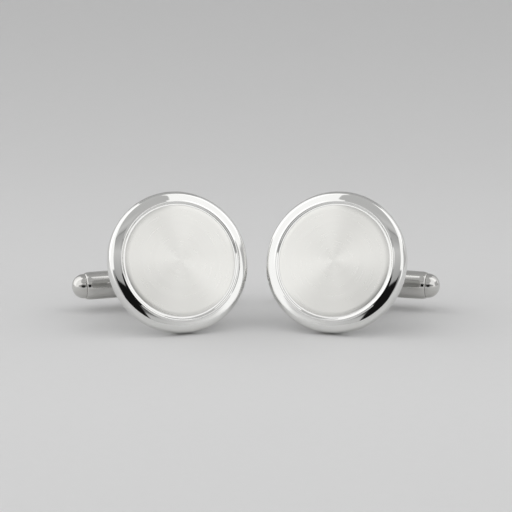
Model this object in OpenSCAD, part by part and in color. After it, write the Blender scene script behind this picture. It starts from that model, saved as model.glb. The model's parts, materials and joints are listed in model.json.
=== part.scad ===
// A pair of round cufflinks. Each has a brushed face plate in a polished sloping bezel,
// and a bullet toggle that swivels in the slot of its post.
// Each stands as it does on a table: leaning back, on its rim and the end of its post.
// Lengths are in millimetres.

/* [Head] */
// Diameter of the head at its widest
disc_d = 18; // [17:0.25:22]
// Height of the head's side
rim_h = 1.75; // [1.7:0.05:2.4]
// Radius of the rounded edge between the slope and the side
front_edge_r = 0.85; // [0.4:0.01:1]
// Radius of the rounded edge between the side and the back
back_edge_r = 0.3; // [0.15:0.01:0.45]
// How far the lip stands above the head's side
crown_h = 0.25; // [0.15:0.01:0.6]
// Thickness of the bezel's side wall round the back plate
wall_t = 0.8; // [0.6:0.05:1.2]

/* [Face] */
// Width of the bezel round the brushed face plate
bezel_w = 1.9; // [1.7:0.05:3.5]
// Thickness of the face plate
face_t = 0.65; // [0.4:0.05:0.8]
// Chamfer round the face plate
face_chamfer = 0.08; // [0.03:0.01:0.15]
// Gap between the face plate and its pocket
face_gap = 0.04; // [0.02:0.01:0.1]
// Width of the flat ledge round the pocket
ledge_w = 0.14; // [0.1:0.01:0.4]
// Width of the slope from the ledge up to the lip
lip_w = 0.2; // [0.1:0.01:0.4]
// Height of the lip above the ledge
lip_h = 0.15; // [0.05:0.01:0.25]
// Width of the lip's outer side
flank_w = 0.16; // [0.1:0.01:0.3]
// Height of the lip above the head of the slope
flank_h = 0.09; // [0.05:0.01:0.15]
// Width of the shelf that carries the face plate
shelf_w = 0.8; // [0.4:0.05:2]

/* [Back] */
// Thickness of the back plate
back_t = 0.8; // [0.5:0.05:0.9]
// Chamfer round the back plate
back_chamfer = 0.1; // [0.05:0.01:0.2]
// Gap between the back plate and the bezel
back_gap = 0.02; // [0.01:0.01:0.05]

/* [Post] */
// Distance from the back of the head to the pivot
stem_l = 13.1; // [12.9:0.1:16]
// Diameter of the pad under the post
pad_d = 7.6; // [7.4:0.1:9]
// Thickness of the pad
pad_h = 0.8; // [0.5:0.05:1]
// Radius of the pad's rounded edge
pad_edge_r = 0.3; // [0.1:0.05:0.45]
// Thickness of each leg
leg_t = 0.9; // [0.6:0.05:1.2]
// Thickness of the web that joins the legs
web_t = 0.9; // [0.6:0.05:1.2]
// Width of the legs at the foot
foot_w = 4.4; // [3.6:0.1:4.8]
// Radius of the rounded corners at the foot
foot_corner_r = 0.6; // [0.3:0.05:0.8]
// Radius of the legs' rounded ends
lug_r = 1.6; // [1.3:0.05:1.75]
// Gap between the toggle and each leg
leg_gap = 0.15; // [0.1:0.01:0.3]

/* [Toggle] */
// Length of the toggle
bar_l = 21; // [17:0.1:21.2]
// Diameter of the toggle
bar_d = 3.62; // [3.5:0.02:3.7]
// Diameter of the toggle's bore
bore_d = 2.7; // [2.6:0.02:2.8]
// Radius of the bow that draws the tube in towards each end
swage_r = 2; // [1:0.1:3]
// How far the tube has turned inwards where its bow meets its rounded end
swage_angle = 18; // [10:1:25]
// Radius of the rounded ends of the tube
tube_edge_r = 0.28; // [0.1:0.01:0.3]
// Diameter of the domed caps
dome_d = 3.22; // [3:0.02:3.3]
// Length of the plug that holds a cap in the tube
plug_l = 1.2; // [0.8:0.1:2]
// Gap between the plug and the bore
plug_gap = 0.01; // [0.01:0.01:0.03]

/* [Pivot] */
// Diameter of the pivot pin
pin_d = 1.2; // [1:0.05:1.3]
// Gap between the pin and the legs that hold it
pin_gap = 0.01; // [0.01:0.01:0.03]
// Running gap between the pin and the toggle
running_gap = 0.05; // [0.02:0.01:0.08]
// Diameter of the pin's peened heads
head_d = 1.9; // [1.6:0.1:2.2]
// Height of the pin's peened heads
head_h = 0.22; // [0.1:0.01:0.4]
// Width across the four flats in the middle of the pin
flats_w = 0.9; // [0.7:0.05:0.95]
// Length of the flats along the pin
flats_l = 1.3; // [1.1:0.1:1.8]
// Thickness of the leaf spring
spring_t = 0.18; // [0.1:0.01:0.2]
// Width of the leaf spring
spring_w = 1; // [0.6:0.05:1.05]
// Gap left between the spring and what it bears on
spring_gap = 0.02; // [0.01:0.01:0.05]
// Length of the flat in the middle of the spring
spring_flat = 3; // [2:0.1:5]
// Gap between each end of the spring and the plug there
spring_end_gap = 0.25; // [0.1:0.05:0.5]

/* [Pair] */
// Distance between the middles of the two heads beyond their diameter
pair_gap = 2.2; // [2:0.1:20]
// How far the left cufflink is turned towards the right one
left_turn_angle = 18.5; // [5:0.5:25]
// How far the right cufflink is turned towards the left one
right_turn_angle = 17; // [5:0.5:25]

/* [Hidden] */
$fn = 96;
// How far a cut runs past the surface that it opens
overrun = 0.5;
// Greatest angle between neighbouring points of an arc in an outline
arc_step_angle = 7.5;

// Radii and heights of the head, measured from its axis and its back
disc_r = disc_d / 2;
face_r = disc_r - bezel_w;
lip_top = rim_h + crown_h;
slope_top = lip_top - flank_h;
face_top = lip_top - lip_h;
face_seat = face_top - face_t;
pocket_r = face_r + face_gap;
ledge_r = pocket_r + ledge_w;
lip_r = ledge_r + lip_w;
slope_r = lip_r + flank_w;
shelf_r = face_r - shelf_w;
back_r = disc_r - wall_t;
front_edge = [disc_r - front_edge_r, rim_h - front_edge_r];
back_edge = [disc_r - back_edge_r, back_edge_r];

// Toggle and post, measured from the back of the head
bar_r = bar_d / 2;
bore_r = bore_d / 2;
dome_r = dome_d / 2;
pin_r = pin_d / 2;
tube_half = bar_l / 2 - dome_r;
slot_half = bar_r + leg_gap;
leg_out = slot_half + leg_t;
slot_end = -pad_h - web_t - slot_half;

// Lean at which the rim's back edge and the ends of the legs stand on one plane
lean_rise = back_edge[0] - leg_out;
lean_run = stem_l + lug_r + back_edge[1];
lean = atan2(lean_rise, lean_run) + asin(back_edge_r / norm([lean_rise, lean_run]));

// How far a rounded ring about the head's axis reaches in a direction.
// ring is its radius and height, and along is that direction's share along the head's axis.
function ring_reach(ring, round_r, along) =
    ring[0] * sqrt(1 - along * along) + ring[1] * along + round_r;

// How far one cufflink, turned by an angle, reaches to the front, to the back and past its outer end
function front_reach(turn) =
    max(
        ring_reach(front_edge, front_edge_r, cos(turn) * cos(lean)),
        ring_reach([lip_r, lip_top], 0, cos(turn) * cos(lean))
    );
function back_reach(turn) =
    stem_l * cos(turn) * cos(lean) + tube_half * sin(turn) + dome_r;
function outer_reach(turn) =
    stem_l * sin(turn) * cos(lean) + tube_half * cos(turn) + dome_r;

// Places of the heads, which put the middle of the pair's base at the origin
pair_shift = (outer_reach(left_turn_angle) - outer_reach(right_turn_angle)) / 2;
left_x = pair_shift - (disc_d + pair_gap) / 2;
right_x = pair_shift + (disc_d + pair_gap) / 2;
most_front = max(front_reach(left_turn_angle), front_reach(right_turn_angle));
most_back = max(back_reach(left_turn_angle), back_reach(right_turn_angle));
head_y = (most_front - most_back) / 2;
head_z = ring_reach(back_edge, back_edge_r, -sin(lean));

// Radius of a shallow arc from half its width and its rise
function bow_radius(half_w, rise) = (half_w * half_w + rise * rise) / (2 * rise);

// The angle at which a line from p touches a circle, on the side that side names as 1 or -1
function touch_angle(p, centre, r, side) =
    atan2(p[1] - centre[1], p[0] - centre[0]) + side * acos(r / norm(p - centre));

// Points along an arc, from one angle to another
function arc(centre, r, from, to) =
    let (steps = ceil(abs(to - from) / arc_step_angle))
        [
            for (step = [0 : steps])
                let (angle = from + (to - from) * step / steps)
                    centre + r * [cos(angle), sin(angle)]
        ];

// Turned ring: lip, slope, rounded edge and side, with a pocket in front and a recess behind
module bezel_ring() {
    slope_start = [slope_r, slope_top];
    color("gainsboro")
        rotate_extrude()
            polygon(concat(
                [
                    [shelf_r, back_t],
                    [shelf_r, face_seat],
                    [pocket_r, face_seat],
                    [pocket_r, face_top],
                    [ledge_r, face_top],
                    [lip_r, lip_top],
                    slope_start
                ],
                arc(front_edge, front_edge_r, touch_angle(slope_start, front_edge, front_edge_r, -1), 0),
                arc(back_edge, back_edge_r, 0, -90),
                [
                    [back_r, 0],
                    [back_r, back_t]
                ]
            ));
}

// Brushed plate in the pocket, flush with the ledge
module face_plate() {
    color("silver")
        rotate_extrude()
            polygon([
                [0, face_seat],
                [face_r, face_seat],
                [face_r, face_top - face_chamfer],
                [face_r - face_chamfer, face_top],
                [0, face_top]
            ]);
}

// Plate that closes the head from behind
module back_plate() {
    plate_r = back_r - back_gap;
    color("lightgray")
        rotate_extrude()
            polygon([
                [0, 0],
                [plate_r - back_chamfer, 0],
                [plate_r, back_chamfer],
                [plate_r, back_t],
                [0, back_t]
            ]);
}

// Pad brazed to the back plate, with its outer edge rounded
module post_pad() {
    pad_r = pad_d / 2;
    color("lightgray")
        rotate_extrude()
            union() {
                translate([0, -pad_h]) square([pad_r - pad_edge_r, pad_h]);
                translate([0, -pad_h + pad_edge_r]) square([pad_r, pad_h - pad_edge_r]);
                translate([pad_r - pad_edge_r, -pad_h + pad_edge_r]) circle(r = pad_edge_r);
            }
}

// The two legs and their web, seen along the toggle
module legs_front() {
    legs_end = -stem_l - lug_r;
    corner = [leg_out - foot_corner_r, -pad_h - foot_corner_r];
    difference() {
        union() {
            translate([-leg_out, legs_end]) square([2 * leg_out, corner[1] - legs_end]);
            translate([-corner[0], corner[1]]) square([2 * corner[0], foot_corner_r]);
            for (side = [-1, 1])
                translate([side * corner[0], corner[1]]) circle(r = foot_corner_r);
        }
        translate([0, slot_end]) circle(r = slot_half);
        translate([-slot_half, legs_end - overrun])
            square([2 * slot_half, slot_end - legs_end + overrun]);
    }
}

// A leg's outline, seen along the pin: straight sides from the foot that touch its round end
module leg_side() {
    pivot = [0, -stem_l];
    foot = [foot_w / 2, -pad_h];
    touch = touch_angle(foot, pivot, lug_r, -1);
    polygon(concat([[-foot[0], foot[1]], foot], arc(pivot, lug_r, touch, -180 - touch)));
}

// U-shaped post that the toggle folds into
module post_frame() {
    color("gainsboro")
        difference() {
            intersection() {
                rotate([90, 0, 90]) linear_extrude(foot_w, center = true) legs_front();
                rotate([90, 0, 0]) linear_extrude(2 * leg_out, center = true) leg_side();
            }
            translate([0, 0, -stem_l])
                rotate([90, 0, 0])
                    cylinder(h = 2 * (leg_out + overrun), r = pin_r + pin_gap, center = true);
        }
}

// Pin with four flats milled in its middle for the spring, and a peened head on each leg
module pivot_pin() {
    color("darkgray")
        translate([0, 0, -stem_l])
            rotate([90, 0, 0])
                union() {
                    difference() {
                        cylinder(h = 2 * leg_out, r = pin_r, center = true);
                        for (turn = [0 : 90 : 270])
                            rotate([0, 0, turn])
                                translate([flats_w / 2, -pin_r, -flats_l / 2])
                                    cube([pin_r, 2 * pin_r, flats_l]);
                    }
                    for (turn = [0, 180])
                        rotate([turn, 0, 0])
                            translate([0, 0, leg_out])
                                peened_head();
                }
}

// Low dome left by the hammer on a pin's end
module peened_head() {
    head_r = head_d / 2;
    bow_r = bow_radius(head_r, head_h);
    rotate_extrude()
        intersection() {
            translate([0, head_h - bow_r]) circle(r = bow_r);
            square([head_r, head_h]);
        }
}

// Sleeve of the toggle, bored through and drilled across for the pin
module toggle_tube() {
    color("gainsboro")
        translate([0, 0, -stem_l])
            difference() {
                rotate([0, 90, 0])
                    rotate_extrude()
                        tube_half_section();
                rotate([90, 0, 0])
                    cylinder(h = bar_d + 2 * overrun, r = pin_r + running_gap, center = true);
            }
}

// The tube's wall on one side of its axis, drawn in by a bow and rounded at both ends
module tube_half_section() {
    inset = swage_r - tube_edge_r;
    edge_middle = [bar_r - swage_r + inset * cos(swage_angle), tube_half - tube_edge_r];
    bow_middle = edge_middle - inset * [cos(swage_angle), sin(swage_angle)];
    half = concat(
        arc(bow_middle, swage_r, 0, swage_angle),
        arc(edge_middle, tube_edge_r, swage_angle, 90),
        [[bore_r, tube_half]]
    );
    polygon(concat(half, [for (i = [len(half) - 1 : -1 : 0]) [half[i][0], -half[i][1]]]));
}

// Domed cap with the plug that holds it, at the end of the tube that side names as 1 or -1
module toggle_cap(side) {
    color("whitesmoke")
        translate([0, 0, -stem_l])
            rotate([0, side * 90, 0])
                translate([0, 0, tube_half])
                    rotate_extrude()
                        union() {
                            translate([0, -plug_l]) square([bore_r - plug_gap, plug_l]);
                            intersection() {
                                circle(r = dome_r);
                                square([dome_r, dome_r]);
                            }
                        }
}

// Bent leaf that lies on a flat of the pin and bears on the bore at its ends
module detent_spring() {
    spring_half = tube_half - plug_l - spring_end_gap;
    half_flat = spring_flat / 2;
    half_w = spring_w / 2;
    flat_z = -flats_w / 2 - spring_gap;
    end_z = -sqrt(bore_r * bore_r - half_w * half_w) + spring_gap + spring_t;
    color("slategray")
        translate([0, 0, -stem_l])
            rotate([90, 0, 0])
                linear_extrude(spring_w, center = true)
                    polygon([
                        [-spring_half, end_z],
                        [-half_flat, flat_z],
                        [half_flat, flat_z],
                        [spring_half, end_z],
                        [spring_half, end_z - spring_t],
                        [half_flat, flat_z - spring_t],
                        [-half_flat, flat_z - spring_t],
                        [-spring_half, end_z - spring_t]
                    ]);
}

// Stands a cufflink at its place: its axis leans back, and the whole turns about the vertical
module stand(x, turn) {
    translate([x, head_y, head_z])
        rotate([0, 0, turn])
            rotate([90 - lean, 0, 0])
                children();
}

module on_left() stand(left_x, left_turn_angle) children();
module on_right() stand(right_x, -right_turn_angle) children();

on_left() face_plate();  // left_face_plate
on_left() bezel_ring();  // left_bezel_ring
on_left() back_plate();  // left_back_plate
on_left() post_pad();  // left_post_pad
on_left() post_frame();  // left_post_frame
on_left() pivot_pin();  // left_pivot_pin
on_left() detent_spring();  // left_detent_spring
on_left() toggle_tube();  // left_toggle_tube
on_left() toggle_cap(-1);  // left_outer_cap
on_left() toggle_cap(1);  // left_inner_cap
on_right() face_plate();  // right_face_plate
on_right() bezel_ring();  // right_bezel_ring
on_right() back_plate();  // right_back_plate
on_right() post_pad();  // right_post_pad
on_right() post_frame();  // right_post_frame
on_right() pivot_pin();  // right_pivot_pin
on_right() detent_spring();  // right_detent_spring
on_right() toggle_tube();  // right_toggle_tube
on_right() toggle_cap(1);  // right_outer_cap
on_right() toggle_cap(-1);  // right_inner_cap
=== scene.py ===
"""Looks of a pair of round cufflinks: brushed faces, polished bezels and bullet toggles.

Each piece is built about the axis that it is turned on and stands where the CAD model has it.
"""

import json
import math

import bmesh
import bpy
from mathutils import Matrix, Vector


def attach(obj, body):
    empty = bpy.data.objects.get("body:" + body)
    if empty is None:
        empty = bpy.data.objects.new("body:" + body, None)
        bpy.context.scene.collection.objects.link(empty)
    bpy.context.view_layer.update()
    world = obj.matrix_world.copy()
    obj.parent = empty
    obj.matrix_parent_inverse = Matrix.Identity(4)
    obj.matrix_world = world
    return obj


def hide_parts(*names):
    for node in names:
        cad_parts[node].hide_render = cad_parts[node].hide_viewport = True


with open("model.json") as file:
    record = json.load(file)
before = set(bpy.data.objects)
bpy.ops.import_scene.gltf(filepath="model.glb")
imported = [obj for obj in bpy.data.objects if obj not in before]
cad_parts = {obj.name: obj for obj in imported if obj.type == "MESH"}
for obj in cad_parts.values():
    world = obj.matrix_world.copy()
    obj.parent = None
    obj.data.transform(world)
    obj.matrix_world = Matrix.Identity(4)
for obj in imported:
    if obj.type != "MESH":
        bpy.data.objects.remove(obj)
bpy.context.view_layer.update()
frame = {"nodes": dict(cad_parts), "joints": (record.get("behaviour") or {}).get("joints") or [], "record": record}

MM = 0.001
SIDES = ("left", "right")

# Head, in millimetres, with heights from its back
DISC_R = 9.0
RIM_H = 1.75
# The rounded edge between slope and side, and the one at the back
EDGE_R = 0.85
EDGE_MIDDLE_H = RIM_H - EDGE_R
BACK_EDGE_R = 0.3
# The slope, an arc that falls more and more towards the edge
SLOPE_BOW_R = 7.0
SLOPE_START_ANGLE = 12.0
SLOPE_END_ANGLE = 17.5
# The bead round the face, with how far its arc reaches to either side of its top
BEAD_MIDDLE_R = 7.54
BEAD_TOP = 1.955
BEAD_R = 0.18
BEAD_IN_ANGLE = 35.0
BEAD_OUT_ANGLE = 22.0
# The ledge round the pocket, which falls a little to the hollow at the bead's foot
LEDGE_TOP = 1.81
LEDGE_R = 7.22
LEDGE_FALL = 0.01
HOLLOW_R = 0.18
# The face plate in its pocket. Its bowed front is lifted above the solid's flat one
FACE_R = 7.08
FACE_GAP = 0.01
POCKET_R = FACE_R + FACE_GAP
FACE_TOP = 1.85
FACE_T = 0.65
FACE_SEAT = FACE_TOP - FACE_T
FACE_CHAMFER = 0.01
FACE_BOW_R = 130.0
FACE_LIFT = 0.2
# The zone at the face plate's rim where its front rolls down
FACE_ROLL_W = 0.5
FACE_ROLL_R = 2.4
# The shelf that carries the face plate, and the back plate in its recess
SHELF_R = 6.3
WALL_T = 0.8
BACK_R = DISC_R - WALL_T
BACK_GAP = 0.02
BACK_T = 0.8
BACK_CHAMFER = 0.1

# Toggle, in millimetres. A bow draws its tube in towards the ends
BAR_HALF = 10.5
BAR_R = 1.81
BORE_R = 1.35
SWAGE_R = 2.0
SWAGE_ANGLE = 18.0
TUBE_EDGE_R = 0.28
DOME_R = 1.61
TUBE_HALF = BAR_HALF - DOME_R
PLUG_L = 1.2
PLUG_GAP = 0.01

# Post, in millimetres, from the back of the head to the pivot, with a slot for the toggle
STEM_L = 13.1
PAD_R = 3.8
PAD_H = 0.8
PAD_EDGE_R = 0.3
LEG_T = 0.9
LEG_GAP = 0.15
SLOT_HALF = BAR_R + LEG_GAP
LEG_OUT = SLOT_HALF + LEG_T
WEB_T = 0.9
# Where the slot's round end begins
SLOT_TOP = -PAD_H - WEB_T - SLOT_HALF
FOOT_HALF = 2.2
FOOT_CORNER_R = 0.6
# The straight that leads to the rounded corner at the foot
CORNER_LEAD = 0.4
LUG_R = 1.6
LEG_BEVEL = 0.14

# Pin, in millimetres, with the hole that it runs in and the four flats in its middle
PIN_R = 0.6
RUNNING_GAP = 0.05
PIN_RUN_R = PIN_R + RUNNING_GAP
DRILL_HALF = 1.5 * BAR_R
PIN_HEAD_R = 0.95
PIN_HEAD_H = 0.22
FLATS_HALF_W = 0.45
FLATS_HALF_L = 0.65
FLATS_STEP = 0.01

# Steps round the head and round the toggle, and longest steps along arcs in an outline
ROUND_STEPS = 256
BAR_STEPS = 96
ARC_STEP = math.radians(5)
SLOPE_STEP = math.radians(0.5)
CORNER_STEP = math.radians(30)
BOW_STEPS = 4
# Stations along the frame, by angle round a leg's end and then by count up the leg
LEG_END_ANGLES = range(2, 90, 8)
LEG_STEPS = 6
# How far the first station lies from the tip of the leg, where the frame has no width
TIP_GAP = 0.001
# The frame's bevel takes at most these shares of its depth and of half its width
BEVEL_DEPTH_SHARE = 1 / 3
BEVEL_WIDTH_SHARE = 0.6
LEAST_BEVEL = 1e-4

# Shading: edges that turn by more than this angle stay sharp
SHARP_ANGLE = 24
# Distance from a straight's end of the point that keeps the straight shaded flat
HOLD = 0.02
# Straights no longer than this get no such points
HOLD_LENGTH = 4 * HOLD
# A smaller radius is a point on the axis
ON_AXIS = 1e-6


# Outlines

def arc(centre, radius, start, end, longest=ARC_STEP):
    """Points along an arc, from one angle to another in degrees."""
    start, end = math.radians(start), math.radians(end)
    steps = max(2, math.ceil(abs(end - start) / longest))
    points = []
    for step in range(steps + 1):
        angle = start + (end - start) * step / steps
        points.append((centre[0] + radius * math.cos(angle), centre[1] + radius * math.sin(angle)))
    return points


def touch_angle(point, centre, radius, side):
    """The angle at which a line from point touches a circle, in degrees."""
    dx, dy = point[0] - centre[0], point[1] - centre[1]
    return math.degrees(math.atan2(dy, dx) + side * math.acos(radius / math.hypot(dx, dy)))


def bow_radius(half_width, rise):
    """Radius of a shallow arc from half its width and its rise."""
    return (half_width ** 2 + rise ** 2) / (2 * rise)


# Places

def record_mount(name):
    """The mount of that name in the part's record."""
    return next(mount for mount in frame["record"]["mounts"] if mount["name"] == name)


def record_joint(name):
    """The joint of that name in the frame."""
    return next(joint for joint in frame["joints"] if joint["name"] == name)


def head_place(side):
    """Matrix of a head: origin at its back, Y up its face, Z out of its front."""
    face = record_mount(side + "_face")
    out = Vector(face["axis"]).normalized()
    up = Vector(record_joint(side + "_toggle_swivel")["axis"]).normalized()
    across = up.cross(out)
    place = Matrix((across, up, out)).transposed().to_4x4()
    place.translation = Vector(face["pos_m"]) - out * FACE_TOP * MM
    return place


def toggle_place(side):
    """Matrix of a toggle: origin at the pivot, Z along the toggle towards the head's right."""
    to_pivot = Matrix.Translation((0, 0, -STEM_L * MM))
    return head_place(side) @ to_pivot @ Matrix.Rotation(math.radians(90), 4, "Y")


def pin_place(side):
    """Matrix of a pin: origin at the pivot, Z along the pin."""
    to_pivot = Matrix.Translation((0, 0, -STEM_L * MM))
    return head_place(side) @ to_pivot @ Matrix.Rotation(math.radians(-90), 4, "X")


# Meshes

def shade_smooth(mesh):
    """Shades a mesh smooth up to its sharp edges."""
    for polygon in mesh.polygons:
        polygon.use_smooth = True
    mesh.set_sharp_from_angle(angle=math.radians(SHARP_ANGLE))


def finish_piece(name, mesh_data, place, material, body, node):
    """Makes the object, stands it in its place, ties it to its body and hides the CAD node that it replaces."""
    mesh = bpy.data.meshes.new(name)
    mesh_data.to_mesh(mesh)
    mesh_data.free()
    shade_smooth(mesh)
    mesh.materials.append(material)
    piece = bpy.data.objects.new(name, mesh)
    piece.matrix_world = place
    bpy.context.scene.collection.objects.link(piece)
    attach(piece, body)
    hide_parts(node)
    return piece


def held(outline):
    """Adds a point near each end of the long straights, so that they are shaded flat."""
    points = [outline[0]]
    for start, end in zip(outline, outline[1:]):
        start, end = Vector(start), Vector(end)
        length = (end - start).length
        if length > HOLD_LENGTH:
            points.append(tuple(start.lerp(end, HOLD / length)))
            points.append(tuple(end.lerp(start, HOLD / length)))
        points.append(tuple(end))
    return points


def turned(outline, steps, closed=False):
    """Revolves an outline of (radius, height) points about Z. A radius of zero is one point."""
    data = bmesh.new()
    rings = []
    for radius, height in held(outline):
        if radius < ON_AXIS:
            rings.append([data.verts.new((0, 0, height * MM))])
            continue
        ring = []
        for step in range(steps):
            angle = 2 * math.pi * step / steps
            ring.append(data.verts.new((
                radius * MM * math.cos(angle), radius * MM * math.sin(angle), height * MM)))
        rings.append(ring)
    pairs = list(zip(rings, rings[1:]))
    if closed:
        pairs.append((rings[-1], rings[0]))
    for low, high in pairs:
        for step in range(steps):
            after = (step + 1) % steps
            corners = [low[step % len(low)], low[after % len(low)],
                       high[after % len(high)], high[step % len(high)]]
            corners = list(dict.fromkeys(corners))
            if len(corners) > 2:
                data.faces.new(corners)
    bmesh.ops.recalc_face_normals(data, faces=data.faces)
    return data


def drilled(piece, radius, reach, place):
    """Cuts a round hole through a piece along the Z axis of a place, to both sides of it."""
    drill = turned([(0, -reach), (radius, -reach), (radius, reach), (0, reach)], BAR_STEPS)
    mesh = bpy.data.meshes.new("drill")
    drill.to_mesh(mesh)
    drill.free()
    tool = bpy.data.objects.new("drill", mesh)
    tool.matrix_world = place
    bpy.context.scene.collection.objects.link(tool)
    cut = piece.modifiers.new("cross_hole", "BOOLEAN")
    cut.operation = "DIFFERENCE"
    cut.solver = "EXACT"
    cut.object = tool
    bpy.context.view_layer.update()
    shape = piece.evaluated_get(bpy.context.evaluated_depsgraph_get())
    result = bpy.data.meshes.new_from_object(shape)
    piece.modifiers.remove(cut)
    piece.data = result
    bpy.data.objects.remove(tool)
    shade_smooth(result)


# Shader nodes

# A noise lies mostly between these two
NOISE_LOW = 0.25
NOISE_HIGH = 0.75


def nodes_of(name):
    """A new material, its node tree and its shader."""
    material = bpy.data.materials.new(name)
    material.use_nodes = True
    tree = material.node_tree
    return material, tree, tree.nodes["Principled BSDF"]


def add(tree, kind, **values):
    """Adds a node and sets its properties and its inputs by name."""
    node = tree.nodes.new(kind)
    for key, value in values.items():
        if key in node.inputs:
            node.inputs[key].default_value = value
        else:
            setattr(node, key, value)
    return node


def feed(tree, socket, value):
    """Gives a socket a number, or links another socket to it."""
    if isinstance(value, (int, float)):
        socket.default_value = value
    else:
        tree.links.new(value, socket)


def math_node(tree, operation, *values):
    """A Math node of numbers or sockets. Gives its output."""
    node = add(tree, "ShaderNodeMath", operation=operation)
    for socket, value in zip(node.inputs, values):
        feed(tree, socket, value)
    return node.outputs[0]


def ranged(tree, value, start, end, low=0, high=1, curve="LINEAR"):
    """Maps start to end onto low to high, and what lies beyond them onto low and high."""
    node = add(tree, "ShaderNodeMapRange", interpolation_type=curve)
    feed(tree, node.inputs["Value"], value)
    limits = {"From Min": start, "From Max": end, "To Min": low, "To Max": high}
    for name, limit in limits.items():
        node.inputs[name].default_value = limit
    return node.outputs["Result"]


def around_axis(tree):
    """Distance from the object's Z axis and angle about it, in metres and radians."""
    place = add(tree, "ShaderNodeTexCoord").outputs["Object"]
    split = add(tree, "ShaderNodeSeparateXYZ")
    tree.links.new(place, split.inputs[0])
    x, y = split.outputs[:2]
    squares = math_node(tree, "ADD", math_node(tree, "MULTIPLY", x, x), math_node(tree, "MULTIPLY", y, y))
    return math_node(tree, "SQRT", squares), math_node(tree, "ARCTAN2", y, x)


def noise(tree, vector, scale, detail=2.0):
    """Noise over a vector, with scale cells in each of its units."""
    texture = add(tree, "ShaderNodeTexNoise", Scale=scale, Detail=detail)
    tree.links.new(vector, texture.inputs["Vector"])
    return texture.outputs["Fac"]


def spread(tree, value, low, high):
    """Maps the range where a noise mostly lies onto low to high."""
    return ranged(tree, value, NOISE_LOW, NOISE_HIGH, low, high)


def tint(tree, value, low, high):
    """A colour between two, by where a noise lies in its range."""
    colours = add(tree, "ShaderNodeValToRGB")
    for stop, place, colour in zip(colours.color_ramp.elements, (NOISE_LOW, NOISE_HIGH), (low, high)):
        stop.position = place
        stop.color = (*colour, 1)
    tree.links.new(value, colours.inputs[0])
    return colours.outputs[0]


def bump(tree, shader, height, strength, distance):
    """Raises and sinks a shader's surface by a height."""
    node = add(tree, "ShaderNodeBump", Strength=strength, Distance=distance)
    tree.links.new(height, node.inputs["Height"])
    tree.links.new(node.outputs[0], shader.inputs["Normal"])


def joined(tree, x, y, z):
    """A vector of three numbers or sockets."""
    vector = add(tree, "ShaderNodeCombineXYZ")
    for socket, value in zip(vector.inputs, (x, y, z)):
        feed(tree, socket, value)
    return vector.outputs[0]


def ramp(tree, value, stops):
    """A number by a value, along straight lines through stops of (value, number)."""
    curve = add(tree, "ShaderNodeFloatCurve")
    first, last = stops[0][0], stops[-1][0]
    highest = max(number for start, number in stops)
    line = curve.mapping.curves[0]
    line.points[0].location = (0, stops[0][1] / highest)
    line.points[1].location = (1, stops[-1][1] / highest)
    for start, number in stops[1:-1]:
        line.points.new((start - first) / (last - first), number / highest)
    for point in line.points:
        point.handle_type = "VECTOR"
    curve.mapping.update()
    tree.links.new(ranged(tree, value, first, last), curve.inputs["Value"])
    return math_node(tree, "MULTIPLY", curve.outputs[0], highest)


def window(tree, value, low, high, soft):
    """1 between low and high and 0 outside, with soft edges of that width."""
    half = soft / 2
    rise = ranged(tree, value, low - half, low + half, curve="SMOOTHSTEP")
    fall = ranged(tree, value, high + half, high - half, curve="SMOOTHSTEP")
    return math_node(tree, "MULTIPLY", rise, fall)


def blend(tree, share, low, high):
    """Number between low and high by a share."""
    node = add(tree, "ShaderNodeMix", data_type="FLOAT")
    for socket, value in zip((node.inputs[0], node.inputs[2], node.inputs[3]), (share, low, high)):
        feed(tree, socket, value)
    return node.outputs[0]


# Metals

# Cells of the detail: per metre, and per radian along a ring
RING_SCALE = 9000
RING_TURN_SCALE = 1.2
BROAD_RING_SCALE = 1500
BROAD_RING_SHIFT = 3
PATCH_SCALE = 350
WIPE_SCALE = 5200
GRAIN_SCALE = 9000
GRAIN_PATCH_SCALE = 400
# How far the roughness of brushed and of blasted metal strays either way
BRUSH_STRAY = 0.01
GRAIN_STRAY = 0.05
# Strength and depth of the relief that polishing and brushing leave, and of the blasted grain
FINE_RELIEF = 0.02
FINE_DEPTH = 0.002 * MM
GRAIN_RELIEF = 0.15
GRAIN_DEPTH = 0.004 * MM
# The shader's highlight is turned across the brushing by a quarter of a turn
ACROSS = 0.25


def circular_brushed(name, low, high, roughness, anisotropy):
    """Metal brushed in rings about the object's Z axis."""
    material, tree, shader = nodes_of(name)
    radius, angle = around_axis(tree)
    across_rings = math_node(tree, "MULTIPLY", radius, RING_SCALE)
    along_rings = math_node(tree, "MULTIPLY", angle, RING_TURN_SCALE)
    fine = noise(tree, joined(tree, across_rings, along_rings, 0), 1, 3)
    broad_rings = math_node(tree, "MULTIPLY", radius, BROAD_RING_SCALE)
    broad = noise(tree, joined(tree, broad_rings, 0, BROAD_RING_SHIFT), 1)
    rough = spread(tree, fine, roughness - BRUSH_STRAY, roughness + BRUSH_STRAY)
    tree.links.new(tint(tree, broad, low, high), shader.inputs["Base Color"])
    tree.links.new(rough, shader.inputs["Roughness"])
    shader.inputs["Metallic"].default_value = 1
    shader.inputs["Anisotropic"].default_value = anisotropy
    shader.inputs["Anisotropic Rotation"].default_value = ACROSS
    tangent = add(tree, "ShaderNodeTangent", direction_type="RADIAL", axis="Z")
    tree.links.new(tangent.outputs[0], shader.inputs["Tangent"])
    bump(tree, shader, fine, FINE_RELIEF, FINE_DEPTH)
    return material


def polished(name, low, high, roughness, wear):
    """Polished metal with faint wipe marks and patches that have dulled a little."""
    material, tree, shader = nodes_of(name)
    place = add(tree, "ShaderNodeTexCoord").outputs["Object"]
    patches = noise(tree, place, PATCH_SCALE, 3)
    marks = noise(tree, place, WIPE_SCALE, 1)
    tree.links.new(tint(tree, patches, low, high), shader.inputs["Base Color"])
    tree.links.new(spread(tree, patches, roughness, roughness + wear), shader.inputs["Roughness"])
    shader.inputs["Metallic"].default_value = 1
    bump(tree, shader, marks, FINE_RELIEF, FINE_DEPTH)
    return material


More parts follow.
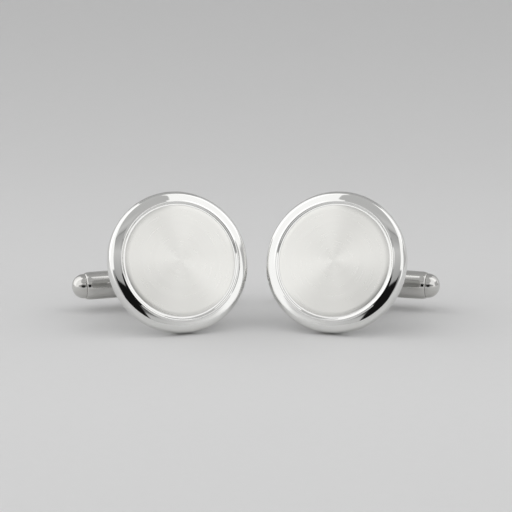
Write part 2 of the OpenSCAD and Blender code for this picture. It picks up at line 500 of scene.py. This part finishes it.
def satin(name, low, high, roughness):
    """Fine blasted metal without direction."""
    material, tree, shader = nodes_of(name)
    place = add(tree, "ShaderNodeTexCoord").outputs["Object"]
    grain = noise(tree, place, GRAIN_SCALE)
    patches = noise(tree, place, GRAIN_PATCH_SCALE)
    rough = spread(tree, grain, roughness - GRAIN_STRAY, roughness + GRAIN_STRAY)
    tree.links.new(tint(tree, patches, low, high), shader.inputs["Base Color"])
    tree.links.new(rough, shader.inputs["Roughness"])
    shader.inputs["Metallic"].default_value = 1
    bump(tree, shader, grain, GRAIN_RELIEF, GRAIN_DEPTH)
    return material


FACE_METAL = circular_brushed(
    "brushed_face", low=(0.82, 0.815, 0.785), high=(0.83, 0.825, 0.795), roughness=0.28, anisotropy=0.88)
BEZEL_METAL = polished(
    "polished_bezel", low=(0.81, 0.81, 0.795), high=(0.83, 0.83, 0.815), roughness=0.03, wear=0.02)
TOGGLE_METAL = polished(
    "polished_toggle", low=(0.64, 0.635, 0.615), high=(0.67, 0.665, 0.645), roughness=0.07, wear=0.04)
POST_METAL = polished(
    "polished_post", low=(0.84, 0.84, 0.83), high=(0.90, 0.90, 0.89), roughness=0.08, wear=0.06)
BACK_METAL = satin("satin_back", low=(0.66, 0.66, 0.65), high=(0.74, 0.74, 0.73), roughness=0.34)
PIN_METAL = satin("pin_steel", low=(0.60, 0.60, 0.60), high=(0.70, 0.70, 0.70), roughness=0.28)
SPRING_METAL = satin("spring_steel", low=(0.38, 0.39, 0.43), high=(0.48, 0.49, 0.52), roughness=0.3)


# Pieces of the head

def face_outline():
    """From the middle of the slightly bowed front over the rolled edge to the seat."""
    roll_start = FACE_R - FACE_CHAMFER - FACE_ROLL_W
    bow_turn = roll_start / FACE_BOW_R
    radii = [roll_start * step / BOW_STEPS for step in range(BOW_STEPS + 1)]
    bow = [(radius, FACE_TOP + FACE_LIFT - radius ** 2 / (2 * FACE_BOW_R)) for radius in radii]
    start = 90 - math.degrees(bow_turn)
    end = start - math.degrees(FACE_ROLL_W / FACE_ROLL_R)
    middle = (roll_start - FACE_ROLL_R * bow_turn, bow[-1][1] - FACE_ROLL_R)
    roll = arc(middle, FACE_ROLL_R, start, end)
    edge = (FACE_R, roll[-1][1] - FACE_CHAMFER)
    return bow + roll[1:] + [edge, (FACE_R, FACE_SEAT), (0, FACE_SEAT)]


def bezel_outline():
    """Shelf, pocket, ledge, hollow, bead, bowed slope, rounded edges, then the recess behind."""
    edge_middle = (DISC_R - EDGE_R, EDGE_MIDDLE_H)
    back_edge = (DISC_R - BACK_EDGE_R, BACK_EDGE_R)
    slope_end = math.radians(SLOPE_END_ANGLE)
    inset = SLOPE_BOW_R - EDGE_R
    slope_middle = (edge_middle[0] - inset * math.sin(slope_end),
                    edge_middle[1] - inset * math.cos(slope_end))
    slope = arc(slope_middle, SLOPE_BOW_R, 90 - SLOPE_START_ANGLE, 90 - SLOPE_END_ANGLE, SLOPE_STEP)
    edge = arc(edge_middle, EDGE_R, 90 - SLOPE_END_ANGLE, 0) + arc(back_edge, BACK_EDGE_R, 0, -90)
    bead = arc((BEAD_MIDDLE_R, BEAD_TOP - BEAD_R), BEAD_R, 90 + BEAD_IN_ANGLE, 90 - BEAD_OUT_ANGLE)
    hollow = arc((LEDGE_R, LEDGE_TOP + HOLLOW_R), HOLLOW_R, -90, BEAD_IN_ANGLE - 90)
    shelf = [(SHELF_R, BACK_T), (SHELF_R, FACE_SEAT)]
    pocket = [(POCKET_R, FACE_SEAT), (POCKET_R, LEDGE_TOP + LEDGE_FALL)]
    recess = [(BACK_R, 0), (BACK_R, BACK_T)]
    return shelf + pocket + hollow + bead + slope + edge[1:] + recess


def back_outline():
    """The back plate, flush with the back of the head."""
    plate_r = BACK_R - BACK_GAP
    return [(0, 0), (plate_r - BACK_CHAMFER, 0), (plate_r, BACK_CHAMFER), (plate_r, BACK_T), (0, BACK_T)]


def pad_outline():
    """The pad under the post, with a rounded edge at its outer side."""
    corner = (PAD_R - PAD_EDGE_R, PAD_EDGE_R - PAD_H)
    return [(0, -PAD_H)] + arc(corner, PAD_EDGE_R, -90, 0) + [(PAD_R, 0), (0, 0)]


# Pieces of the toggle and its pin

def tube_outline():
    """Right half of the wall from the middle, drawn in by a bow, then the same mirrored."""
    inset = SWAGE_R - TUBE_EDGE_R
    turn = math.radians(SWAGE_ANGLE)
    edge = (BAR_R - SWAGE_R + inset * math.cos(turn), TUBE_HALF - TUBE_EDGE_R)
    bow = (edge[0] - inset * math.cos(turn), edge[1] - inset * math.sin(turn))
    half = [(BAR_R, 0)] + arc(bow, SWAGE_R, 0, SWAGE_ANGLE) + arc(edge, TUBE_EDGE_R, SWAGE_ANGLE, 90)[1:]
    half += [(BORE_R, TUBE_HALF)]
    mirrored = [(radius, -height) for radius, height in reversed(half[1:])]
    return half + mirrored


def cap_outline():
    """The plug in the tube's bore and the dome outside it."""
    plug_r = BORE_R - PLUG_GAP
    plug_end = TUBE_HALF - PLUG_L
    dome = arc((0, TUBE_HALF), DOME_R, 0, 90)
    return [(0, plug_end), (plug_r, plug_end), (plug_r, TUBE_HALF)] + dome[:-1] + [(0, BAR_HALF)]


def pin_outline():
    """Half of the pin with its peened head, then the same mirrored."""
    bow_r = bow_radius(PIN_HEAD_R, PIN_HEAD_H)
    centre = (0, LEG_OUT + PIN_HEAD_H - bow_r)
    edge_deg = math.degrees(math.asin(PIN_HEAD_R / bow_r))
    head = arc(centre, bow_r, 90 - edge_deg, 90)[:-1] + [(0, LEG_OUT + PIN_HEAD_H)]
    heights = (0, FLATS_HALF_L - FLATS_STEP, FLATS_HALF_L, LEG_OUT)
    half = [(PIN_R, height) for height in heights] + head
    mirrored = [(radius, -height) for radius, height in half[1:]]
    return list(reversed(mirrored)) + half


def pin_mesh():
    """The turned pin, with its middle filed to the four flats that the spring bears on."""
    data = turned(pin_outline(), BAR_STEPS)
    limit = FLATS_HALF_W * MM
    for vertex in data.verts:
        if abs(vertex.co.z) < (FLATS_HALF_L - FLATS_STEP / 2) * MM:
            vertex.co.x = max(-limit, min(limit, vertex.co.x))
            vertex.co.y = max(-limit, min(limit, vertex.co.y))
    return data


# The post's frame

def leg_half_width(height):
    """Half the width of the frame at a height, straight from the foot and round at the pivot."""
    touch = math.radians(touch_angle((FOOT_HALF, -PAD_H), (0, -STEM_L), LUG_R, -1))
    touch_height = -STEM_L + LUG_R * math.sin(touch)
    if height < touch_height:
        return math.sqrt(max(0, LUG_R ** 2 - (height + STEM_L) ** 2))
    share = (height - touch_height) / (-PAD_H - touch_height)
    return LUG_R * math.cos(touch) + share * (FOOT_HALF - LUG_R * math.cos(touch))


def frame_stations():
    """Pairs of inner and outer points of the U, up one leg, round the web and down the other."""
    legs_end = -STEM_L - LUG_R
    heights = [-STEM_L - LUG_R * math.cos(math.radians(angle)) for angle in LEG_END_ANGLES]
    heights += [-STEM_L + step * (SLOT_TOP + STEM_L) / LEG_STEPS for step in range(LEG_STEPS)]
    heights = [legs_end + TIP_GAP] + [height for height in heights if height > legs_end + TIP_GAP]
    leg = [((SLOT_HALF, height), (LEG_OUT, height)) for height in heights]
    corner = (LEG_OUT - FOOT_CORNER_R, -PAD_H - FOOT_CORNER_R)
    round_corner = arc(corner, FOOT_CORNER_R, 0, 90)
    outer = [(LEG_OUT, SLOT_TOP), (LEG_OUT, corner[1] - CORNER_LEAD)]
    outer += round_corner + [(corner[0] / 2, -PAD_H)]
    turn = []
    for index, outside in enumerate(outer):
        angle = math.radians(90 * index / len(outer))
        inside = (SLOT_HALF * math.cos(angle), SLOT_TOP + SLOT_HALF * math.sin(angle))
        turn.append((inside, outside))
    half = leg + turn + [((0, -PAD_H - WEB_T), (0, -PAD_H))]
    mirrored = [((-inside[0], inside[1]), (-outside[0], outside[1]))
                for inside, outside in reversed(half[:-1])]
    return half + mirrored


def section(inside, outside):
    """Rounded rectangle between an inner and an outer point, as wide as the frame is there."""
    inner, outer = Vector(inside), Vector(outside)
    depth = (outer - inner).length
    along = (outer - inner).normalized()
    half_inner, half_outer = leg_half_width(inner.y), leg_half_width(outer.y)
    corners = ((0, True, 1), (90, False, 1), (180, False, -1), (270, True, -1))
    outline = []
    for start, is_outer, side in corners:
        half = half_outer if is_outer else half_inner
        most = min(LEG_BEVEL, depth * BEVEL_DEPTH_SHARE)
        bevel = min(most, max(half * BEVEL_WIDTH_SHARE, LEAST_BEVEL))
        middle = (depth - bevel if is_outer else bevel, side * (half - bevel))
        outline += arc(middle, bevel, start, start + 90, CORNER_STEP)
    corner_points = len(outline) // len(corners)
    points = []
    for index, start in enumerate(outline):
        points.append(Vector(start))
        if index % corner_points == corner_points - 1:
            end = Vector(outline[(index + 1) % len(outline)])
            length = max((end - points[-1]).length, HOLD_LENGTH)
            points += [points[-1].lerp(end, HOLD / length), end.lerp(points[-1], HOLD / length)]
    spots = [(inner + along * depth_at, width_at) for depth_at, width_at in points]
    return [(width_at * MM, spot.x * MM, spot.y * MM) for spot, width_at in spots]


def post_frame_mesh():
    """The frame's sections joined from one leg's end to the other's."""
    data = bmesh.new()
    rings = []
    for inside, outside in frame_stations():
        rings.append([data.verts.new(point) for point in section(inside, outside)])
    for low, high in zip(rings, rings[1:]):
        for step in range(len(low)):
            after = (step + 1) % len(low)
            data.faces.new((low[step], low[after], high[after], high[step]))
    data.faces.new(rings[0])
    data.faces.new(list(reversed(rings[-1])))
    bmesh.ops.recalc_face_normals(data, faces=data.faces)
    return data


# Assembly

def build_head(side):
    """The pieces of one head and its post."""
    place = head_place(side)
    rounds = (
        ("face_plate", face_outline(), False, FACE_METAL, "brushed_face"),
        ("bezel_ring", bezel_outline(), True, BEZEL_METAL, "polished_bezel"),
        ("back_plate", back_outline(), False, BACK_METAL, "satin_back"),
        ("post_pad", pad_outline(), False, POST_METAL, "polished_post"),
    )
    for part, outline, closed, metal, slot in rounds:
        node = side + "_" + part
        mesh_data = turned(outline, ROUND_STEPS, closed)
        finish_piece(node + "_look", mesh_data, place, metal, "heads", node)
    node = side + "_post_frame"
    finish_piece(node + "_look", post_frame_mesh(), place, POST_METAL, "heads", node)
    node = side + "_pivot_pin"
    finish_piece(node + "_look", pin_mesh(), pin_place(side), PIN_METAL, "heads", node)


def build_toggle(side):
    """The pieces of one toggle. Its spring is the solid itself, with a metal of its own."""
    place = toggle_place(side)
    body = side + "_toggle"
    node = side + "_toggle_tube"
    tube = finish_piece(node + "_look", turned(tube_outline(), BAR_STEPS, closed=True), place,
                        TOGGLE_METAL, body, node)
    drilled(tube, PIN_RUN_R, DRILL_HALF, pin_place(side))
    flipped = place @ Matrix.Rotation(math.radians(180), 4, "X")
    right_end, left_end = ("inner_cap", "outer_cap") if side == "left" else ("outer_cap", "inner_cap")
    for part, cap_place in ((right_end, place), (left_end, flipped)):
        node = side + "_" + part
        finish_piece(node + "_look", turned(cap_outline(), BAR_STEPS), cap_place, TOGGLE_METAL,
                     body, node)
    spring = frame["nodes"][side + "_detent_spring"]
    spring.data.materials.clear()
    spring.data.materials.append(SPRING_METAL)


for cufflink in SIDES:
    build_head(cufflink)
    build_toggle(cufflink)


# Floor and backdrop, with lengths in metres

FLOOR_FRONT = -0.6
FLOOR_BACK = 0.09
SWEEP_R = 0.35
WALL_TOP = 0.9
STAGE_HALF = 0.32
SWEEP_STEPS = 24
PAPER_TONE = 0.805
PAPER_ROUGHNESS = 0.55
PAPER_SPECULAR = 0.4
PAPER_GRAIN_SCALE = 700
PAPER_GRAIN_SHARE = 0.005
# Share of the paper's tone by place from front to back, in metres. This is painted shade and light: lightest near
# the object, darker towards the far front and the wall, where the studio light falls off
PAPER_PAINTED_SHADE_SHARES = (
    (-0.6, 0.8), (-0.2, 0.89), (-0.11, 0.955), (-0.04, 1.0), (0.03, 0.965), (0.08, 0.92),
    (0.2, 0.755), (0.9, 0.74),
)


def stage_material():
    """Pale paper with a faint grain, and painted shade that makes it a little darker away from the object."""
    material, tree, shader = nodes_of("pale_paper")
    place = add(tree, "ShaderNodeTexCoord").outputs["Object"]
    split = add(tree, "ShaderNodeSeparateXYZ")
    tree.links.new(place, split.inputs[0])
    # The paper's own tone times its painted shade by place
    tone = math_node(tree, "MULTIPLY", ramp(tree, split.outputs[1], PAPER_PAINTED_SHADE_SHARES), PAPER_TONE)
    cells = noise(tree, place, PAPER_GRAIN_SCALE, 3)
    grain = spread(tree, cells, 1 - PAPER_GRAIN_SHARE, 1 + PAPER_GRAIN_SHARE)
    tone = math_node(tree, "MULTIPLY", tone, grain)
    tree.links.new(joined(tree, tone, tone, tone), shader.inputs["Base Color"])
    shader.inputs["Roughness"].default_value = PAPER_ROUGHNESS
    shader.inputs["Specular IOR Level"].default_value = PAPER_SPECULAR
    return material


def build_stage():
    """One sheet: floor, sweep and wall."""
    line = [(FLOOR_FRONT, 0.0), (FLOOR_BACK, 0.0)]
    for step in range(1, SWEEP_STEPS + 1):
        angle = math.radians(90) * step / SWEEP_STEPS
        line.append((FLOOR_BACK + SWEEP_R * math.sin(angle), SWEEP_R * (1 - math.cos(angle))))
    line.append((FLOOR_BACK + SWEEP_R, WALL_TOP))
    mesh = bpy.data.meshes.new("backdrop")
    points = [(side * STAGE_HALF, y, z) for y, z in line for side in (-1, 1)]
    faces = [(2 * i, 2 * i + 1, 2 * i + 3, 2 * i + 2) for i in range(len(line) - 1)]
    mesh.from_pydata(points, [], faces)
    for polygon in mesh.polygons:
        polygon.use_smooth = True
    mesh.materials.append(stage_material())
    backdrop = bpy.data.objects.new("backdrop", mesh)
    bpy.context.scene.collection.objects.link(backdrop)


build_stage()


# Light: a studio seen as a sky, by degrees to the side and degrees of height at the object

# Brightness of the room in front by height
FRONT_LIGHT = (
    (-10, 0.58), (3, 0.58), (7, 0.45), (10, 0.34), (22, 0.36), (25, 0.42), (31, 0.52), (37, 0.62),
    (42, 0.46), (45.5, 0.42), (46.3, 0.3), (47.2, 0.5), (50, 0.62), (55, 0.53), (64, 0.53), (90, 0.55),
)
# Brightness of the room in front near the horizon by angle from the middle
LOW_LIGHT = ((0, 0.55), (20, 0.55), (32, 0.65), (44, 0.78), (51, 0.88), (58, 1.08), (180, 1.08))
LOW_TOP = 7.0
LOW_SOFT = 8
# Brightness of the room behind by height
BEHIND_LIGHT = ((-10, 0.3), (0, 0.3), (60, 0.45), (90, 0.55))
BEHIND_FROM = 100
BEHIND_SOFT = 30

# A black card in front, as wide to the left as to the right
CARD_SIDE = 14.7
CARD_LOW = -3.0
CARD_HIGH = 22.0
CARD_SOFT = 1.5
CARD_LIGHT = 0.008
# A dim flag behind the card, wider than it
FLAG_SIDE = 25.0
FLAG_LOW = 8.0
FLAG_HIGH = 20.0
FLAG_SOFT = 3
FLAG_LIGHT = 0.15

# Softboxes at both sides, with their lower front corners cut off
BOX_NEAR = 50
BOX_NEAR_SOFT = 8
BOX_CUT = 31
BOX_CUT_LOW = 14
BOX_CUT_HIGH = 25
BOX_LOW = 3.0
BOX_LOW_SOFT = 4
# Height of their top from the left rear over the front to the right rear
BOX_TOP = (
    (-180, 40), (-150, 50), (-137, 62), (-110, 80), (-75, 80), (-60, 73), (-52, 66), (-45, 56),
    (-37, 47), (0, 32), (37, 47), (45, 56), (52, 66), (60, 73), (75, 80), (95, 80), (110, 68),
    (128, 54), (150, 45), (180, 38),
)
BOX_TOP_SOFT = 2
# Their brightness from the left rear over the front to the right rear
BOX_LIGHT = (
    (-180, 0.5), (-172, 0.6), (-163, 0.8), (-155, 0.93), (-140, 1.07), (-120, 1.2), (-105, 1.4),
    (-87, 1.4), (-79, 1.12), (79, 1.12), (87, 1.4), (104, 1.4), (118, 0.92), (132, 0.77),
    (157, 0.77), (165, 0.68), (180, 0.5),
)
# A grey gap low in the right softbox
SHORT_NEAR = 70.5
SHORT_FAR = 112
SHORT_LOW = 0
SHORT_TOP = 27
SHORT_SIDE_SOFT = 2
SHORT_TOP_SOFT = 3
SHORT_LIGHT = 0.5

# What the camera sees past the backdrop
BACKGROUND_LIGHT = 0.5
# An edge of a window that nothing lies beyond
OPEN = 400


def room_light(tree, up, off_middle):
    """Brightness of the room without its softboxes and cards."""
    is_low = window(tree, up, -OPEN, LOW_TOP, LOW_SOFT)
    in_front = blend(tree, is_low, ramp(tree, up, FRONT_LIGHT), ramp(tree, off_middle, LOW_LIGHT))
    is_behind = window(tree, off_middle, BEHIND_FROM, OPEN, BEHIND_SOFT)
    return blend(tree, is_behind, in_front, ramp(tree, up, BEHIND_LIGHT))


def softbox_share(tree, side, up, off_middle):
    """1 in the softboxes and 0 outside them."""
    cut = ranged(tree, up, BOX_CUT_LOW, BOX_CUT_HIGH, 0, BOX_CUT)
    past_cut = math_node(tree, "ADD", off_middle, cut)
    above_top = math_node(tree, "SUBTRACT", up, ramp(tree, side, BOX_TOP))
    over_bottom = window(tree, up, BOX_LOW, OPEN, BOX_LOW_SOFT)
    under_top = window(tree, above_top, -OPEN, 0, BOX_TOP_SOFT)
    past_front = window(tree, past_cut, BOX_NEAR, OPEN, BOX_NEAR_SOFT)
    return math_node(tree, "MULTIPLY", math_node(tree, "MULTIPLY", over_bottom, under_top), past_front)


def patch(tree, side, up, side_edges, up_edges):
    """1 in a patch of the studio and 0 outside it. Edges are low, high and how soft both are."""
    return math_node(tree, "MULTIPLY", window(tree, side, *side_edges), window(tree, up, *up_edges))


def build_world():
    """The studio, and a plain background for the camera where the backdrop ends."""
    world = bpy.data.worlds.new("studio")
    bpy.context.scene.world = world
    world.use_nodes = True
    tree = world.node_tree
    shade = tree.nodes["Background"]
    shade.inputs["Color"].default_value = (1, 1, 1, 1)
    direction = add(tree, "ShaderNodeTexCoord").outputs["Generated"]
    split = add(tree, "ShaderNodeSeparateXYZ")
    tree.links.new(direction, split.inputs[0])
    x, y, z = split.outputs
    up = math_node(tree, "MULTIPLY", math_node(tree, "ARCSINE", z), math.degrees(1))
    front = math_node(tree, "MULTIPLY", y, -1)
    side = math_node(tree, "MULTIPLY", math_node(tree, "ARCTAN2", x, front), math.degrees(1))
    off_middle = math_node(tree, "ABSOLUTE", side)
    light = room_light(tree, up, off_middle)
    light = blend(tree, softbox_share(tree, side, up, off_middle), light, ramp(tree, side, BOX_LIGHT))
    patches = (
        ((SHORT_NEAR, SHORT_FAR, SHORT_SIDE_SOFT), (SHORT_LOW, SHORT_TOP, SHORT_TOP_SOFT), SHORT_LIGHT),
        ((-FLAG_SIDE, FLAG_SIDE, FLAG_SOFT), (FLAG_LOW, FLAG_HIGH, FLAG_SOFT), FLAG_LIGHT),
        ((-CARD_SIDE, CARD_SIDE, CARD_SOFT), (CARD_LOW, CARD_HIGH, CARD_SOFT), CARD_LIGHT),
    )
    for side_edges, up_edges, brightness in patches:
        light = blend(tree, patch(tree, side, up, side_edges, up_edges), light, brightness)
    is_camera = add(tree, "ShaderNodeLightPath").outputs["Is Camera Ray"]
    tree.links.new(blend(tree, is_camera, light, BACKGROUND_LIGHT), shade.inputs["Strength"])


build_world()


# Camera

# Degrees below the horizon that it looks along, and metres from what it looks at
CAMERA_PITCH = 12.4
CAMERA_DISTANCE = 0.28
FOCAL_PIXELS = 2245
FRAME_PIXELS = 512
SENSOR = 36.0
CLIP_START = 0.01
CLIP_END = 10
TARGET = Vector((0, -0.0064, 0.00943))


def build_camera():
    """The camera, straight in front of the pair and a little above it."""
    data = bpy.data.cameras.new("camera")
    data.sensor_width = SENSOR
    data.lens = FOCAL_PIXELS / FRAME_PIXELS * SENSOR
    data.clip_start = CLIP_START
    data.clip_end = CLIP_END
    camera = bpy.data.objects.new("camera", data)
    pitch = math.radians(CAMERA_PITCH)
    camera.location = TARGET + CAMERA_DISTANCE * Vector((0, -math.cos(pitch), math.sin(pitch)))
    camera.rotation_euler = (math.radians(90) - pitch, 0, 0)
    bpy.context.scene.collection.objects.link(camera)
    bpy.context.scene.camera = camera


build_camera()
bpy.context.scene.view_settings.view_transform = "Standard"
